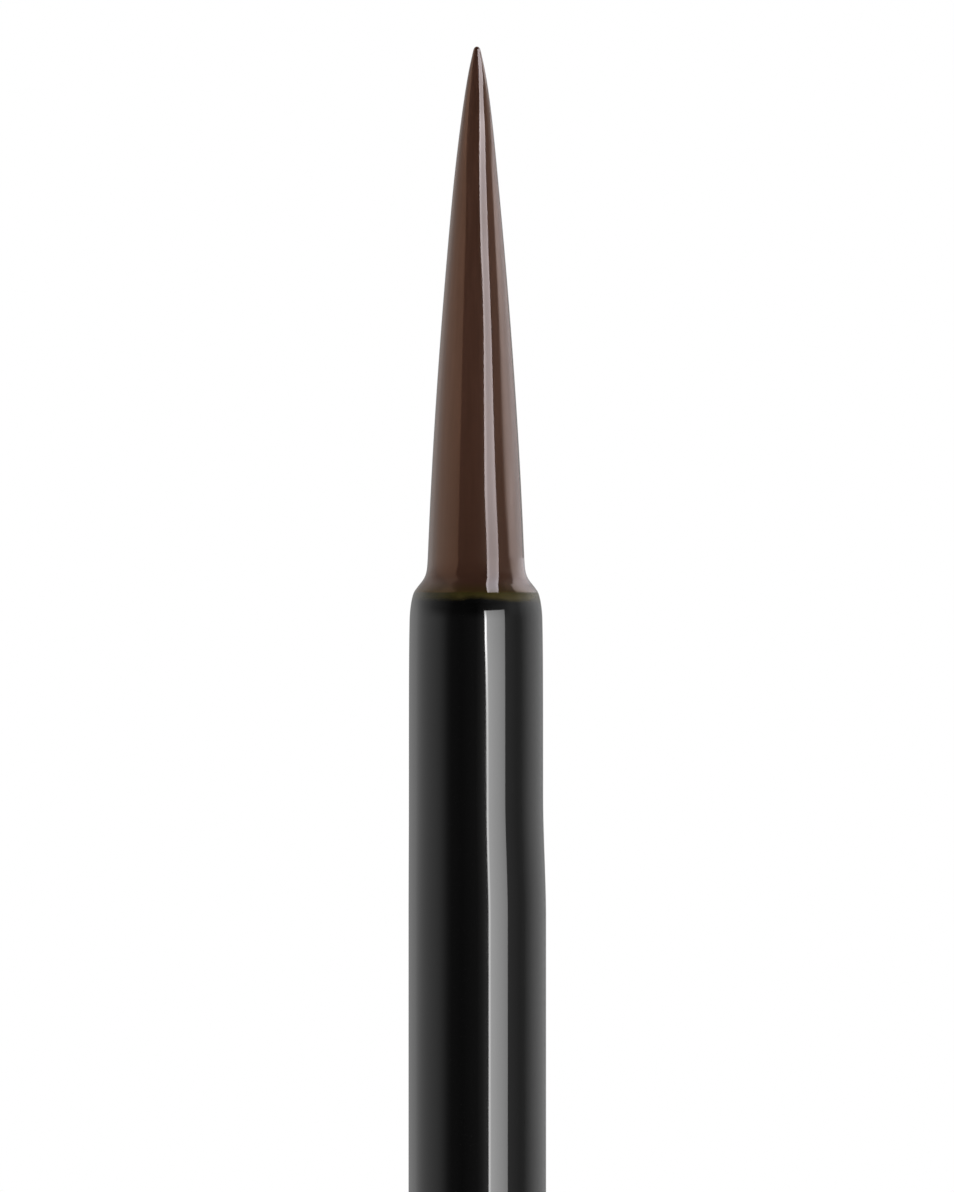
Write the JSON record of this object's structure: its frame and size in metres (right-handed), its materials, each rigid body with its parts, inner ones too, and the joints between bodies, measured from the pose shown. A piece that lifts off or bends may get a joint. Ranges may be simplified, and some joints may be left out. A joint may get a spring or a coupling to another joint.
{
  "type": "fine detail brush",
  "caption": "Slim applicator brush: a wet pointed bristle tuft in the round-shouldered mouth of a glossy black stem, which plugs into a hollow screw-cap handle.",
  "frame": {"origin": "centre of the closed end face of the cap handle, which the brush stands on", "axes": "+Z along the common axis, from the cap's closed end to the tip of the tuft; X and Y are any two directions across it"},
  "size_m": [0.011, 0.011, 0.1211],
  "materials": {
    "cap_plastic": "polished black",
    "stem_plastic": "polished black",
    "liner_plastic": "satin black",
    "plated_steel": "zinc plated",
    "foam": "closed-cell foam",
    "resin": "cast resin",
    "bristle": "fine filaments, wet"
  },
  "bodies": {
    "wand": {"cap_shell": "cap_plastic", "end_disc": "cap_plastic", "cap_weight": "plated_steel", "inner_cap": "liner_plastic", "seal_washer": "foam", "stem": "stem_plastic", "root_adhesive": "resin", "tuft_root": "bristle"},
    "tuft": {"bristle_tuft": "bristle"}
  },
  "joints": [
    {"name": "tuft_bend", "type": "hinge", "parent": "wand", "child": "tuft", "pos_m": [0, 0, 0.1106], "axis": [0, 1, 0], "range_deg": [-25, 25], "stiffness_Nm_per_rad": 0.00055}
  ]
}
